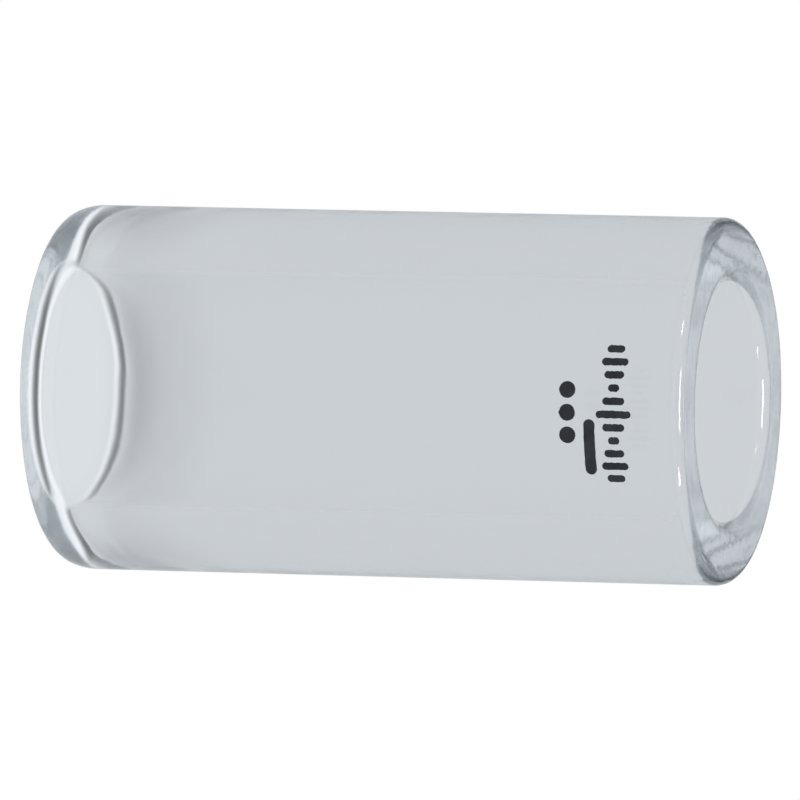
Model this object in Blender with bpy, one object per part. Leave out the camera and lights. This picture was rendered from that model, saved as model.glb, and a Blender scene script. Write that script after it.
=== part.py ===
"""Guitar finger slide: a heavy clear glass tube with fire-polished ends and a fired-on ink mark.

Metres, +Z up. The tube stands on its lower end face at Z = 0 and the bore runs along Z.
The ink mark faces -Y, near the upper end, and each of its islands is a solid of its own.
"""
import math

import bmesh
import bpy

MM = 0.001

# Driving dimensions of the glass.
BORE_DIAMETER = 18.5 * MM
WALL = 5.0 * MM
LENGTH = 53.8 * MM
BORE_RADIUS = BORE_DIAMETER / 2
OUTER_RADIUS = BORE_RADIUS + WALL

# Fire-polished edges: how far each rounding reaches across the end and along the tube.
LOWER_OUTER_EDGE = (1.2 * MM, 2.4 * MM)
LOWER_INNER_EDGE = (2.4 * MM, 2.6 * MM)
UPPER_OUTER_EDGE = (1.0 * MM, 1.1 * MM)
UPPER_INNER_EDGE = (1.5 * MM, 1.0 * MM)

# Facets of the turned body.
TURN_STEPS = 96
EDGE_STEPS = 6

# The ink: a thin printed film, lifted clear of the faceted glass behind it.
INK_GAP = 0.03 * MM
INK_THICKNESS = 0.05 * MM
INK_CORNER_STEPS = 4
INK_FACET_WIDTH = 0.55 * MM

# The mark's layout, as arc lengths from the front of the tube and heights from its base.
BAR_COUNT = 11
BAR_PITCH = 1.02 * MM
BAR_WIDTH = 0.58 * MM
BAR_SHORTEST = 0.9 * MM
BAR_LONGEST = 2.8 * MM
BAR_BEATS = 2.5
BARS_ARC = 1.2 * MM
BARS_HEIGHT = LENGTH - 5.4 * MM
DASH_WIDTH = 4.4 * MM
DASH_DEPTH = 0.9 * MM
DASH_ARC = 3.8 * MM
DASH_HEIGHT = LENGTH - 7.35 * MM
PIP_COUNT = 3
PIP_PITCH = 1.75 * MM
PIP_DIAMETER = 1.3 * MM
PIPS_ARC = 1.1 * MM
PIPS_HEIGHT = LENGTH - 9.1 * MM

# Colours, linear.
GLASS_COLOUR = (0.88, 0.91, 0.92, 1.0)
GLASS_IOR = 1.474
INK_COLOUR = (0.012, 0.014, 0.018, 1.0)


def clear_scene():
    """Remove whatever objects the file already holds."""
    for old in list(bpy.data.objects):
        bpy.data.objects.remove(old, do_unlink=True)


def glass_material():
    """Clear borosilicate glass."""
    material = bpy.data.materials.new("clear_glass")
    material.use_nodes = True
    shader = material.node_tree.nodes["Principled BSDF"]
    shader.inputs["Base Color"].default_value = GLASS_COLOUR
    shader.inputs["Roughness"].default_value = 0.02
    shader.inputs["Metallic"].default_value = 0.0
    shader.inputs["IOR"].default_value = GLASS_IOR
    shader.inputs["Transmission Weight"].default_value = 1.0
    return material


def ink_material():
    """Near-black ceramic ink, fired onto the glass."""
    material = bpy.data.materials.new("fired_ink")
    material.use_nodes = True
    shader = material.node_tree.nodes["Principled BSDF"]
    shader.inputs["Base Color"].default_value = INK_COLOUR
    shader.inputs["Roughness"].default_value = 0.45
    shader.inputs["Metallic"].default_value = 0.0
    return material


def add_object(name, bm, material):
    """Turn a bmesh into a named, smooth-shaded object with its material."""
    bmesh.ops.recalc_face_normals(bm, faces=bm.faces)
    mesh = bpy.data.meshes.new(name)
    bm.to_mesh(mesh)
    bm.free()
    mesh.shade_smooth()
    mesh.set_sharp_from_angle(angle=math.radians(35))
    mesh.materials.append(material)
    piece = bpy.data.objects.new(name, mesh)
    bpy.context.collection.objects.link(piece)
    return piece


def quarter_turn(centre, reach, start_degrees, steps):
    """Points of a quarter of an ellipse about centre, anticlockwise from start_degrees."""
    points = []
    for step in range(steps + 1):
        angle = math.radians(start_degrees + 90 * step / steps)
        points.append((centre[0] + reach[0] * math.cos(angle), centre[1] + reach[1] * math.sin(angle)))
    return points


def tube_profile():
    """The wall's closed section as (radius, height) points, with its four edges rounded."""
    corners = [
        (OUTER_RADIUS, 0.0, -1, 1, LOWER_OUTER_EDGE, -90),
        (OUTER_RADIUS, LENGTH, -1, -1, UPPER_OUTER_EDGE, 0),
        (BORE_RADIUS, LENGTH, 1, -1, UPPER_INNER_EDGE, 90),
        (BORE_RADIUS, 0.0, 1, 1, LOWER_INNER_EDGE, 180),
    ]
    section = []
    for wall, end, inwards, upwards, reach, start_degrees in corners:
        centre = (wall + inwards * reach[0], end + upwards * reach[1])
        section += quarter_turn(centre, reach, start_degrees, EDGE_STEPS)
    return section


def make_glass_tube(material):
    """Spin the wall's section once round the bore's axis."""
    bm = bmesh.new()
    rim = [bm.verts.new((radius, 0.0, height)) for radius, height in tube_profile()]
    for index, vertex in enumerate(rim):
        bm.edges.new((vertex, rim[(index + 1) % len(rim)]))
    bmesh.ops.spin(
        bm,
        geom=bm.verts[:] + bm.edges[:],
        cent=(0.0, 0.0, 0.0),
        axis=(0.0, 0.0, 1.0),
        angle=2 * math.pi,
        steps=TURN_STEPS,
        use_merge=True,
    )
    return add_object("glass_tube", bm, material)


def island_outline(width, depth):
    """A flat bar, dash or disc about (0, 0) whose short ends are half circles."""
    radius = min(width, depth) / 2
    side = width / 2 - radius
    top = depth / 2 - radius
    reach = (radius, radius)
    outline = quarter_turn((side, top), reach, 0, INK_CORNER_STEPS)
    outline += quarter_turn((-side, top), reach, 90, INK_CORNER_STEPS)
    outline += quarter_turn((-side, -top), reach, 180, INK_CORNER_STEPS)
    outline += quarter_turn((side, -top), reach, 270, INK_CORNER_STEPS)
    return outline


def wrap_round_tube(bm, arc, height):
    """Bend a flat slab (X along the arc, Y up the tube, Z outwards) round the outside wall."""
    for vertex in bm.verts:
        angle = (arc + vertex.co.x) / OUTER_RADIUS
        reach = OUTER_RADIUS + INK_GAP + vertex.co.z
        up = height + vertex.co.y
        vertex.co = (reach * math.sin(angle), -reach * math.cos(angle), up)


def make_ink_island(name, width, depth, arc, height, material):
    """One island of ink: its outline, thickened, cut into narrow facets and bent round the glass."""
    bm = bmesh.new()
    face = bm.faces.new([bm.verts.new((x, y, 0.0)) for x, y in island_outline(width, depth)])
    raised = bmesh.ops.extrude_face_region(bm, geom=[face])["geom"]
    lifted = [item for item in raised if isinstance(item, bmesh.types.BMVert)]
    bmesh.ops.translate(bm, verts=lifted, vec=(0.0, 0.0, INK_THICKNESS))
    bmesh.ops.remove_doubles(bm, verts=bm.verts, dist=0.001 * MM)
    facets = math.ceil(width / INK_FACET_WIDTH)
    for cut in range(1, facets):
        bmesh.ops.bisect_plane(
            bm,
            geom=bm.verts[:] + bm.edges[:] + bm.faces[:],
            dist=0.001 * MM,
            plane_co=(width * (cut / facets - 0.5), 0.0, 0.0),
            plane_no=(1.0, 0.0, 0.0),
        )
    wrap_round_tube(bm, arc, height)
    bmesh.ops.triangulate(bm, faces=bm.faces)
    return add_object(name, bm, material)


def bar_height(index):
    """Height of one bar: a symmetric swell, like a plucked note's trace."""
    offset = (index - (BAR_COUNT - 1) / 2) / ((BAR_COUNT - 1) / 2)
    swell = math.cos(BAR_BEATS * math.pi * offset / 2) ** 2 * (1 - 0.45 * abs(offset))
    return BAR_SHORTEST + (BAR_LONGEST - BAR_SHORTEST) * swell


def make_ink_mark(material):
    """The whole mark: a row of upright bars, a dash below them, and three round pips."""
    for index in range(BAR_COUNT):
        arc = BARS_ARC + BAR_PITCH * (index - (BAR_COUNT - 1) / 2)
        name = f"ink_bar_{index + 1:02d}"
        make_ink_island(name, BAR_WIDTH, bar_height(index), arc, BARS_HEIGHT, material)
    make_ink_island("ink_dash", DASH_WIDTH, DASH_DEPTH, DASH_ARC, DASH_HEIGHT, material)
    for index in range(PIP_COUNT):
        arc = PIPS_ARC + PIP_PITCH * (index - (PIP_COUNT - 1) / 2)
        name = f"ink_pip_{index + 1}"
        make_ink_island(name, PIP_DIAMETER, PIP_DIAMETER, arc, PIPS_HEIGHT, material)


clear_scene()
make_glass_tube(glass_material())
make_ink_mark(ink_material())
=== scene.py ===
"""A heavy-wall clear glass guitar slide, standing on a pale floor and seen through a long lens.

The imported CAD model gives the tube's outside, its length and the place of each island of ink. The
glass is turned again here, finer and with the slight unevenness of drawn, fire-polished tubing, and
each island is laid on it again as a thin film with a soft, uneven edge. Lengths are in metres, +Z
up; the printed side faces -Y.
"""
import math

import bpy
import numpy as np
from mathutils import Matrix, Vector


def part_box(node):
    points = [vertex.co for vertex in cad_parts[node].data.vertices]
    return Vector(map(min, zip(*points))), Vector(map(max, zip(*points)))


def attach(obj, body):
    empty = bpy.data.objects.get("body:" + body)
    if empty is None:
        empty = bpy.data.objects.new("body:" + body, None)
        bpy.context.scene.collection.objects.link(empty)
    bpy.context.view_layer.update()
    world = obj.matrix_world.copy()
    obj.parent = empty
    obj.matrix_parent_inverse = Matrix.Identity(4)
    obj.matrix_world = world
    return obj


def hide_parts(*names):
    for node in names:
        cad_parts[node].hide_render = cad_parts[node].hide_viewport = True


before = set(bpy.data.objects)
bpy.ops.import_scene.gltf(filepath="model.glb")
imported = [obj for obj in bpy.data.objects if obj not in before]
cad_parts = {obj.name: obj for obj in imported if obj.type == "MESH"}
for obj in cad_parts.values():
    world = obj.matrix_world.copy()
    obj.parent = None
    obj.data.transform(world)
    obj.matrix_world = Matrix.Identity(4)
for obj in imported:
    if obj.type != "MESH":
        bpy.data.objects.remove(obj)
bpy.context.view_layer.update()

MM = 0.001

# The tube: its outside and its length come from its CAD node, and the bore is given here.
_, TUBE_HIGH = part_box("glass_tube")
OUTER_RADIUS = TUBE_HIGH.x
LENGTH = TUBE_HIGH.z
BORE_RADIUS = 9.25 * MM

# Fire-polished edges: how far each rounding reaches across the end and along the tube.
LOW_OUTER_EDGE = (1.20 * MM, 2.40 * MM)
LOW_INNER_EDGE = (2.40 * MM, 2.60 * MM)
HIGH_OUTER_EDGE = (1.00 * MM, 1.10 * MM)
HIGH_INNER_EDGE = (1.50 * MM, 1.00 * MM)
TURN_STEPS = 320
EDGE_STEPS = 16
WALL_STEPS = 64
LAND_STEPS = 4

# Unevenness of the tubing: how far the walls and the ends may wander from their true place, and
# by what share of itself a rounding may grow or shrink. WAVE_PEAK is a wave's usual height.
WALL_WANDER = 0.012 * MM
EDGE_WANDER = 0.07
END_SAG = 0.035 * MM
WAVE_PEAK = 1.6

# The ink film. The gap lies between glass and film, and CAD_INK_LIFT reaches from the glass to the
# outside of the CAD's film. INK_TIP_SHARE keeps a film's tips from closing to a point.
INK_GAP = 0.008 * MM
INK_FILM = 0.022 * MM
INK_EDGE_THINNING = 0.75
INK_EDGE_WANDER = 0.025 * MM
INK_TIP_SHARE = 0.04
CAD_INK_LIFT = 0.08 * MM
INK_LONG_STEPS = 56
INK_CROSS_STEPS = 14
INK_SEED = 100

# Glass.
GLASS_IOR = 1.474
GLASS_ABSORPTION = (0.0, 0.10, 0.17)
GLASS_DENSITY = 4.6
GLASS_ROUGHNESS = 0.07
GLASS_SMUDGE_ROUGHNESS = 0.11

# Procedural detail: noise scales, and (strength, depth) of each bump.
SMUDGE_SCALE = 140.0
DRAW_LINE_SCALE = 420.0
DRAW_LINE_STRETCH = (1.0, 1.0, 0.04)
DRAW_LINE_BUMP = (0.05, 0.02 * MM)
SKIN_SCALE = 450.0
SKIN_BUMP = (0.6, 0.02 * MM)
LUMP_SCALE = 650.0
LUMP_BUMP = (1.0, 0.05 * MM)
CROWN_START = LENGTH - 3 * MM
CROWN_FULL = LENGTH - 1 * MM
INK_PATCH_SCALE = 900.0
INK_DARK = (0.004, 0.005, 0.007, 1.0)
INK_LIGHT = (0.022, 0.026, 0.032, 1.0)
INK_ROUGHNESS = 0.38
INK_DRY_ROUGHNESS = 0.55
INK_GRAIN_SCALE = 6000.0
INK_GRAIN_BUMP = (0.25, 0.01 * MM)

# Light, in linear radiance. White floor and backdrop face the lens; the glass itself looks out on
# a cooler, dimmer tent and on a floor of painted light and shade. The tent's stops run over the
# height of a direction, the floor's over the distance from the tube's axis in mm; the side lists
# hold at the tube's left and right.
TENT_TINT = (0.918, 0.962, 1.0)
TENT_STOPS = (
    (-1.00, 0.60),
    (-0.10, 0.20),
    (0.00, 0.12),
    (0.10, 0.12),
    (0.18, 0.34),
    (0.26, 0.80),
    (0.35, 1.08),
    (0.52, 0.98),
    (0.68, 0.92),
    (1.00, 0.90),
)
SIDE_TENT_STOPS = (
    (-1.00, 0.60),
    (-0.10, 0.50),
    (0.00, 0.45),
    (0.10, 0.45),
    (0.18, 0.58),
    (0.26, 0.80),
    (0.35, 1.08),
    (0.52, 0.98),
    (0.68, 0.92),
    (1.00, 0.90),
)
# Painted light and shade on the floor sheet: a painted pool of light inside the bore, out to 9 mm, and
# a painted shadow ring just outside the tube, darkest from 14.5 to 17.5 mm.
PAINTED_FLOOR_LIGHT_STOPS = (
    (0.0, 0.80),
    (9.0, 0.80),
    (11.5, 0.74),
    (13.0, 0.54),
    (14.5, 0.44),
    (17.5, 0.42),
    (20.0, 0.45),
    (25.0, 0.57),
    (40.0, 0.68),
    (200.0, 0.68),
)
# The same painted pool of light; at the tube's sides the painted shadow ring is fainter.
PAINTED_SIDE_FLOOR_LIGHT_STOPS = (
    (0.0, 0.80),
    (9.0, 0.80),
    (11.5, 0.80),
    (13.0, 0.78),
    (14.5, 0.75),
    (17.5, 0.76),
    (20.0, 0.72),
    (25.0, 0.65),
    (40.0, 0.68),
    (200.0, 0.68),
)
FLOOR_REACH = 200.0
FLOOR_SIZE = 12.0
FLOOR_DROP = 0.02 * MM
MAX_BOUNCES = 48

# Soft boxes: name, azimuth and elevation in degrees, width, height, radiance.
SOFTBOX_DISTANCE = 0.9
SOFTBOXES = (
    ("top_softbox", 2, 84, 0.34, 0.16, 18),
    ("right_softbox", 61, 45, 0.13, 0.18, 20),
    ("left_softbox", -59, 51, 0.09, 0.13, 20),
)

# The camera: an upright tube photographed with the picture turned a quarter turn, so the tube's
# top is on the right. ROLL is what is left over after that quarter turn.
ELEVATION = math.radians(17.5)
ROLL = math.radians(1.36)
DISTANCE = 1.25
FRAME_WIDTH = 62.26 * MM
AIM_UP = -0.12 * MM
AIM_ACROSS = -0.46 * MM
SENSOR = 36.0


# ---------------------------------------------------------------- mesh helpers

def new_piece(name, verts, faces):
    """A smooth-shaded mesh object, linked into the scene."""
    mesh = bpy.data.meshes.new(name)
    mesh.from_pydata(verts.tolist(), [], faces)
    mesh.validate()
    mesh.shade_smooth()
    piece = bpy.data.objects.new(name, mesh)
    bpy.context.scene.collection.objects.link(piece)
    return piece


def wander(turn, seed, beats):
    """A smooth closed wave round the tube, within about -1 to 1, made of a few slow beats."""
    rng = np.random.default_rng(seed)
    wave = np.zeros_like(turn)
    for beat in beats:
        wave += rng.normal(0.0, 1.0) * np.cos(beat * turn + rng.uniform(0.0, 2 * math.pi))
    return wave / math.sqrt(len(beats)) / WAVE_PEAK


# ---------------------------------------------------------------- the glass

def rounding(wall, end, inwards, upwards, reach, share, start_degrees):
    """Quarter of an ellipse between a wall and an end: radius and height columns, a row a step."""
    angle = np.radians(start_degrees + np.linspace(0.0, 90.0, EDGE_STEPS + 1))
    radial = reach[0] * share
    axial = reach[1] * share
    radius = (wall + inwards * radial)[:, None] + radial[:, None] * np.cos(angle)[None, :]
    height = (end + upwards * axial)[:, None] + axial[:, None] * np.sin(angle)[None, :]
    return radius, height


def between(start, end, steps):
    """Points strictly between two (radius, height) columns."""
    share = np.arange(1, steps) / steps
    radius = start[0][:, None] * (1 - share) + end[0][:, None] * share
    height = start[1][:, None] * (1 - share) + end[1][:, None] * share
    return radius, height


def make_glass():
    """The tube: four rounded edges joined by the outer wall, the bore and the two end lands."""
    turn = np.linspace(0.0, 2 * math.pi, TURN_STEPS, endpoint=False)
    outer_low = 1 + EDGE_WANDER * wander(turn, 11, (1, 2, 3, 5, 8))
    outer_high = 1 + EDGE_WANDER * wander(turn, 12, (1, 2, 4, 6))
    inner_low = 1 + EDGE_WANDER * wander(turn, 13, (2, 3, 5, 7))
    inner_high = 1 + EDGE_WANDER * wander(turn, 14, (1, 3, 4, 7))
    foot = END_SAG * (0.5 + 0.5 * wander(turn, 15, (2, 3)))
    foot -= foot.min()
    crown = LENGTH - END_SAG * (0.5 + 0.5 * wander(turn, 16, (2, 3)))
    outer = np.full_like(turn, OUTER_RADIUS)
    inner = np.full_like(turn, BORE_RADIUS)

    edges = [
        rounding(outer, foot, -1, 1, LOW_OUTER_EDGE, outer_low, -90),
        rounding(outer, crown, -1, -1, HIGH_OUTER_EDGE, outer_high, 0),
        rounding(inner, crown, 1, -1, HIGH_INNER_EDGE, inner_high, 90),
        rounding(inner, foot, 1, 1, LOW_INNER_EDGE, inner_low, 180),
    ]
    parts = []
    for index, edge in enumerate(edges):
        following = edges[(index + 1) % 4]
        steps = WALL_STEPS if index % 2 == 0 else LAND_STEPS
        parts.append(edge)
        end_column = (edge[0][:, -1], edge[1][:, -1])
        start_column = (following[0][:, 0], following[1][:, 0])
        parts.append(between(end_column, start_column, steps))
    radius = np.concatenate([part[0] for part in parts], axis=1)
    height = np.concatenate([part[1] for part in parts], axis=1)

    lengthwise = height / LENGTH
    for seed, beat in ((21, 1.0), (22, 2.3), (23, 3.7)):
        swell = np.cos(beat * math.pi * lengthwise + seed)
        radius += WALL_WANDER * 0.5 * wander(turn, seed, (2, 3, 5, 7))[:, None] * swell
    radius = np.minimum(radius, OUTER_RADIUS)

    x = np.cos(turn)[:, None] * radius
    y = np.sin(turn)[:, None] * radius
    verts = np.stack([x, y, height], axis=-1).reshape(-1, 3)
    count = radius.shape[1]
    faces = []
    for step in range(TURN_STEPS):
        here = step * count
        there = (step + 1) % TURN_STEPS * count
        for point in range(count):
            after = (point + 1) % count
            faces.append((here + point, there + point, there + after, here + after))
    return new_piece("slide_glass", verts, faces)


# ---------------------------------------------------------------- the ink

def film_grid(long_size, cross_size, seed):
    """A stadium-shaped patch as a grid: along it, across it, and how near each point is to its rim."""
    rng = np.random.default_rng(seed)
    along = -np.cos(np.linspace(0.0, math.pi, INK_LONG_STEPS + 1))
    across = np.linspace(-1.0, 1.0, INK_CROSS_STEPS + 1)
    cap = cross_size / 2
    straight = max(long_size / 2 - cap, 0.0)
    place = along * (straight + cap)
    past = np.clip(np.abs(place) - straight, 0.0, cap)
    half = np.sqrt(np.maximum(cap ** 2 - past ** 2, (INK_TIP_SHARE * cap) ** 2))
    ragged = np.zeros((2, len(along)))
    for beat in (1.1, 2.3, 4.1, 6.7):
        phase = rng.uniform(0.0, 2 * math.pi, (2, 1))
        ragged += rng.normal(0.0, 0.35, (2, 1)) * np.cos(beat * math.pi * along[None, :] + phase)
    ragged *= INK_EDGE_WANDER * half / cap
    low = -half + ragged[0]
    high = half + ragged[1]
    cross = low[:, None] + (high - low)[:, None] * (across[None, :] + 1) / 2
    rim = np.maximum(np.abs(across)[None, :], (np.abs(along) ** 6)[:, None])
    return np.repeat(place[:, None], len(across), axis=1), cross, rim


def make_ink_film(node_name, seed):
    """The thin film that stands for one CAD island of ink, wrapped on the outer wall."""
    low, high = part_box(node_name)
    reach = OUTER_RADIUS + CAD_INK_LIFT
    arc_low = math.asin(low.x / reach) * OUTER_RADIUS
    arc_high = math.asin(high.x / reach) * OUTER_RADIUS
    width = arc_high - arc_low
    depth = high.z - low.z
    upright = depth >= width
    along, cross, rim = film_grid(max(width, depth), min(width, depth), seed)
    side, rise = (cross, along) if upright else (along, cross)
    angle = ((arc_low + arc_high) / 2 + side) / OUTER_RADIUS
    up = (low.z + high.z) / 2 + rise
    crowned = INK_FILM * (1 - INK_EDGE_THINNING * rim ** 6)

    def shell(lift):
        radius = OUTER_RADIUS + INK_GAP + lift
        return np.stack([radius * np.sin(angle), -radius * np.cos(angle), up], axis=-1)

    rows, columns = angle.shape
    flat = np.zeros_like(crowned)
    verts = np.concatenate([shell(crowned).reshape(-1, 3), shell(flat).reshape(-1, 3)])
    under = rows * columns
    faces = []
    for row in range(rows - 1):
        for column in range(columns - 1):
            a = row * columns + column
            quad = (a, a + 1, a + columns + 1, a + columns)
            top = quad if upright else quad[::-1]
            faces.append(top)
            faces.append(tuple(under + index for index in top[::-1]))
    rim_loop = list(range(columns))
    rim_loop += [row * columns + columns - 1 for row in range(1, rows)]
    rim_loop += [(rows - 1) * columns + column for column in range(columns - 2, -1, -1)]
    rim_loop += [row * columns for row in range(rows - 2, 0, -1)]
    for index, a in enumerate(rim_loop):
        b = rim_loop[(index + 1) % len(rim_loop)]
        wall = (a, under + a, under + b, b)
        faces.append(wall if upright else wall[::-1])
    return new_piece(node_name + "_film", verts, faces)


# ---------------------------------------------------------------- materials

def node(tree, kind, **settings):
    """Add a shader node and set its properties."""
    added = tree.nodes.new(kind)
    for key, value in settings.items():
        setattr(added, key, value)
    return added


def noise(tree, coordinates, scale, detail):
    """A noise texture read at the given coordinates."""
    texture = node(tree, "ShaderNodeTexNoise")
    texture.inputs["Scale"].default_value = scale
    texture.inputs["Detail"].default_value = detail
    tree.links.new(coordinates, texture.inputs["Vector"])
    return texture.outputs["Fac"]


def stretched(tree, coordinates, scale):
    """Object coordinates scaled by different amounts along X, Y and Z."""
    mapping = node(tree, "ShaderNodeMapping")
    mapping.inputs["Scale"].default_value = scale
    tree.links.new(coordinates, mapping.inputs["Vector"])
    return mapping.outputs["Vector"]


def remap(tree, value, from_low, from_high, to_low, to_high):
    """Map Range, clamped."""
    mapper = node(tree, "ShaderNodeMapRange")
    mapper.inputs["From Min"].default_value = from_low
    mapper.inputs["From Max"].default_value = from_high
    mapper.inputs["To Min"].default_value = to_low
    mapper.inputs["To Max"].default_value = to_high
    tree.links.new(value, mapper.inputs["Value"])
    return mapper.outputs["Result"]


def bump(tree, height, settings, under=None):
    """A bump node over a height value, and over another bump's normal if there is one."""
    bumper = node(tree, "ShaderNodeBump")
    bumper.inputs["Strength"].default_value = settings[0]
    bumper.inputs["Distance"].default_value = settings[1]
    tree.links.new(height, bumper.inputs["Height"])
    if under is not None:
        tree.links.new(under, bumper.inputs["Normal"])
    return bumper.outputs["Normal"]


def new_material(name):
    """An empty node material: its tree and its Principled shader."""
    material = bpy.data.materials.new(name)
    material.use_nodes = True
    return material, material.node_tree, material.node_tree.nodes["Principled BSDF"]


def glass_material():
    """Clear borosilicate: faint draw lines, an uneven skin, lumpier at the crown, and smudges."""
    material, tree, shader = new_material("clear_glass")
    shader.inputs["Base Color"].default_value = (1.0, 1.0, 1.0, 1.0)
    shader.inputs["IOR"].default_value = GLASS_IOR
    shader.inputs["Transmission Weight"].default_value = 1.0
    place = node(tree, "ShaderNodeTexCoord").outputs["Object"]
    smudges = noise(tree, place, SMUDGE_SCALE, 4.0)
    roughness = remap(tree, smudges, 0.45, 0.75, GLASS_ROUGHNESS, GLASS_SMUDGE_ROUGHNESS)
    tree.links.new(roughness, shader.inputs["Roughness"])
    draw_lines = noise(tree, stretched(tree, place, DRAW_LINE_STRETCH), DRAW_LINE_SCALE, 2.0)
    drawn = bump(tree, draw_lines, DRAW_LINE_BUMP)
    uneven = bump(tree, noise(tree, place, SKIN_SCALE, 1.0), SKIN_BUMP, drawn)
    axis_split = node(tree, "ShaderNodeSeparateXYZ")
    tree.links.new(place, axis_split.inputs[0])
    crown = remap(tree, axis_split.outputs["Z"], CROWN_START, CROWN_FULL, 0.0, 1.0)
    lumps = node(tree, "ShaderNodeMath", operation="MULTIPLY")
    tree.links.new(noise(tree, place, LUMP_SCALE, 1.5), lumps.inputs[0])
    tree.links.new(crown, lumps.inputs[1])
    tree.links.new(bump(tree, lumps.outputs["Value"], LUMP_BUMP, uneven), shader.inputs["Normal"])
    absorption = node(tree, "ShaderNodeVolumeAbsorption")
    absorption.inputs["Color"].default_value = (*GLASS_ABSORPTION, 1.0)
    absorption.inputs["Density"].default_value = GLASS_DENSITY
    tree.links.new(absorption.outputs["Volume"], tree.nodes["Material Output"].inputs["Volume"])
    return material


def ink_material():
    """Near-black fired ink: slightly uneven in colour, satin, with a fine grain."""
    material, tree, shader = new_material("fired_ink")
    place = node(tree, "ShaderNodeTexCoord").outputs["Object"]
    patches = noise(tree, place, INK_PATCH_SCALE, 3.0)
    ramp = node(tree, "ShaderNodeValToRGB")
    ramp.color_ramp.elements[0].position = 0.35
    ramp.color_ramp.elements[0].color = INK_DARK
    ramp.color_ramp.elements[1].position = 0.75
    ramp.color_ramp.elements[1].color = INK_LIGHT
    tree.links.new(patches, ramp.inputs["Fac"])
    tree.links.new(ramp.outputs["Color"], shader.inputs["Base Color"])
    roughness = remap(tree, patches, 0.3, 0.7, INK_ROUGHNESS, INK_DRY_ROUGHNESS)
    tree.links.new(roughness, shader.inputs["Roughness"])
    grain = noise(tree, place, INK_GRAIN_SCALE, 2.0)
    tree.links.new(bump(tree, grain, INK_GRAIN_BUMP), shader.inputs["Normal"])
    return material


def fill_ramp(ramp, stops, tint):
    """Set a colour ramp's stops from (position, brightness) pairs and one tint."""
    elements = ramp.color_ramp.elements
    while len(elements) < len(stops):
        elements.new(0.5)
    for element, (position, level) in zip(elements, stops):
        element.position = position
        element.color = (level * tint[0], level * tint[1], level * tint[2], 1.0)


# ---------------------------------------------------------------- floor, tent and lights

def ramp_stops(stops, low, high):
    """Move stops from the range low to high into a colour ramp's 0 to 1."""
    return [((position - low) / (high - low), level) for position, level in stops]


def front_and_side(tree, way, position, front_stops, side_stops):
    """Brightness along a position, from one list in front and behind to another at the sides."""
    split = node(tree, "ShaderNodeSeparateXYZ")
    tree.links.new(way, split.inputs[0])
    sideways = node(tree, "ShaderNodeMath", operation="MULTIPLY")
    tree.links.new(split.outputs["X"], sideways.inputs[0])
    tree.links.new(split.outputs["X"], sideways.inputs[1])
    mix = node(tree, "ShaderNodeMixRGB")
    tree.links.new(sideways.outputs["Value"], mix.inputs["Fac"])
    for stops, socket in ((front_stops, "Color1"), (side_stops, "Color2")):
        ramp = node(tree, "ShaderNodeValToRGB")
        fill_ramp(ramp, stops, TENT_TINT)
        tree.links.new(position, ramp.inputs["Fac"])
        tree.links.new(ramp.outputs["Color"], mix.inputs[socket])
    return mix.outputs["Color"]


def white_to_lens(tree, to_light, seen, output):
    """Show the seen shader to the lens, and the other to light that meets the glass."""
    blend = node(tree, "ShaderNodeMixShader")
    tree.links.new(node(tree, "ShaderNodeLightPath").outputs["Is Camera Ray"], blend.inputs["Fac"])
    tree.links.new(to_light.outputs[0], blend.inputs[1])
    tree.links.new(seen.outputs[0], blend.inputs[2])
    tree.links.new(blend.outputs["Shader"], tree.nodes[output].inputs["Surface"])


def make_floor():
    """A pale floor: white to the lens, and to the light inside the glass a glowing sheet of painted
    light.

    The sheet's glow paints a pool of light inside the bore and a shadow ring just outside the tube,
    darkest in front of it and behind it.
    """
    half = FLOOR_SIZE / 2
    corners = np.array([(-half, -half, 0.0), (half, -half, 0.0), (half, half, 0.0), (-half, half, 0.0)])
    floor = new_piece("floor", corners, [(0, 1, 2, 3)])
    floor.location.z = -FLOOR_DROP
    material, tree, shader = new_material("floor_painted_light")
    tree.nodes.remove(shader)
    place = node(tree, "ShaderNodeTexCoord").outputs["Object"]
    distance = node(tree, "ShaderNodeVectorMath", operation="LENGTH")
    tree.links.new(place, distance.inputs[0])
    way = node(tree, "ShaderNodeVectorMath", operation="NORMALIZE")
    tree.links.new(place, way.inputs[0])
    reach = remap(tree, distance.outputs["Value"], 0.0, FLOOR_REACH * MM, 0.0, 1.0)
    front = ramp_stops(PAINTED_FLOOR_LIGHT_STOPS, 0.0, FLOOR_REACH)
    side = ramp_stops(PAINTED_SIDE_FLOOR_LIGHT_STOPS, 0.0, FLOOR_REACH)
    # Painted light: the sheet's glow holds a painted pool of light in the bore and a painted shadow
    # ring.
    painted_floor_light = front_and_side(tree, way.outputs["Vector"], reach, front, side)
    seen = node(tree, "ShaderNodeEmission")
    to_light = node(tree, "ShaderNodeEmission")
    tree.links.new(painted_floor_light, to_light.inputs["Color"])
    white_to_lens(tree, to_light, seen, "Material Output")
    floor.data.materials.append(material)


def make_tent():
    """The surround: brightness follows height above the horizon, with a dim band low down.

    The band is lighter at the tube's left and right than in front of it and behind it.
    """
    world = bpy.data.worlds.new("tent")
    bpy.context.scene.world = world
    world.use_nodes = True
    tree = world.node_tree
    to_light = tree.nodes["Background"]
    direction = node(tree, "ShaderNodeTexCoord").outputs["Generated"]
    split = node(tree, "ShaderNodeSeparateXYZ")
    tree.links.new(direction, split.inputs[0])
    rise = remap(tree, split.outputs["Z"], -1.0, 1.0, 0.0, 1.0)
    front = ramp_stops(TENT_STOPS, -1.0, 1.0)
    side = ramp_stops(SIDE_TENT_STOPS, -1.0, 1.0)
    tree.links.new(front_and_side(tree, direction, rise, front, side), to_light.inputs["Color"])
    seen = node(tree, "ShaderNodeBackground")
    seen.inputs["Color"].default_value = (1.0, 1.0, 1.0, 1.0)
    white_to_lens(tree, to_light, seen, "World Output")


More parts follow.
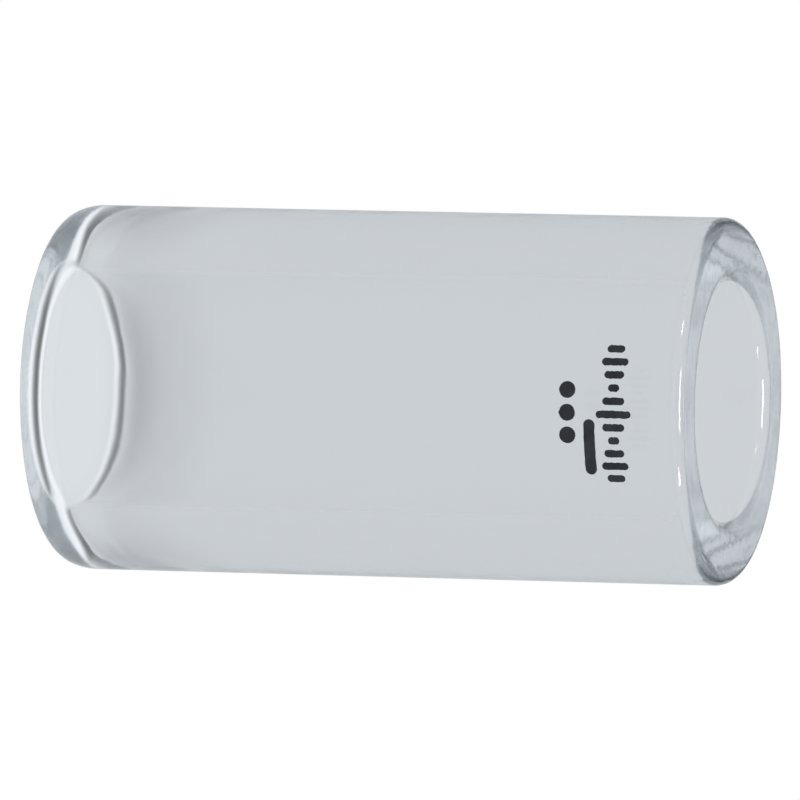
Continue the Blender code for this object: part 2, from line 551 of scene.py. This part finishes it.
def softbox(name, azimuth, elevation, width, height, radiance):
    """A rectangular lamp aimed at the tube; azimuth runs from the lens (0) towards +X."""
    turn = math.radians(azimuth)
    rise = math.radians(elevation)
    way = Vector((math.sin(turn) * math.cos(rise), -math.cos(turn) * math.cos(rise), math.sin(rise)))
    lamp = bpy.data.lights.new(name, "AREA")
    lamp.shape = "RECTANGLE"
    lamp.size = width
    lamp.size_y = height
    lamp.energy = radiance * math.pi * width * height
    holder = bpy.data.objects.new(name, lamp)
    bpy.context.scene.collection.objects.link(holder)
    holder.visible_transmission = False
    holder.location = Vector((0.0, 0.0, LENGTH / 2)) + way * SOFTBOX_DISTANCE
    holder.rotation_euler = way.to_track_quat("Z", "Y").to_euler()


def make_camera():
    """A long lens aimed near the middle of the tube, turned so that up is to the right."""
    rise = Vector((0.0, math.sin(ELEVATION), math.cos(ELEVATION)))
    right = Vector((1.0, 0.0, 0.0))
    back = Vector((0.0, -math.cos(ELEVATION), math.sin(ELEVATION)))
    across = rise * math.cos(ROLL) - right * math.sin(ROLL)
    upward = -(rise * math.sin(ROLL) + right * math.cos(ROLL))
    aim = Vector((0.0, 0.0, LENGTH / 2)) + across * AIM_UP + upward * AIM_ACROSS
    lens = bpy.data.cameras.new("camera")
    lens.sensor_width = SENSOR
    lens.lens = SENSOR * DISTANCE / FRAME_WIDTH
    lens.clip_start = 0.1
    lens.clip_end = 20.0
    camera = bpy.data.objects.new("camera", lens)
    bpy.context.scene.collection.objects.link(camera)
    placing = Matrix((across, upward, back)).transposed().to_4x4()
    placing.translation = aim + back * DISTANCE
    camera.matrix_world = placing
    bpy.context.scene.camera = camera


# ---------------------------------------------------------------- put together

glass = make_glass()
glass.data.materials.append(glass_material())
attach(glass, "root")
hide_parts("glass_tube")

ink = ink_material()
ink_nodes = sorted(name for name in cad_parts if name.startswith("ink_"))
for number, ink_node in enumerate(ink_nodes):
    film = make_ink_film(ink_node, INK_SEED + number)
    film.data.materials.append(ink)
    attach(film, "root")
    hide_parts(ink_node)

make_floor()
make_tent()
for settings in SOFTBOXES:
    softbox(*settings)
make_camera()

scene = bpy.context.scene
scene.view_settings.view_transform = "Standard"
scene.cycles.max_bounces = MAX_BOUNCES
scene.cycles.glossy_bounces = MAX_BOUNCES
scene.cycles.transmission_bounces = MAX_BOUNCES
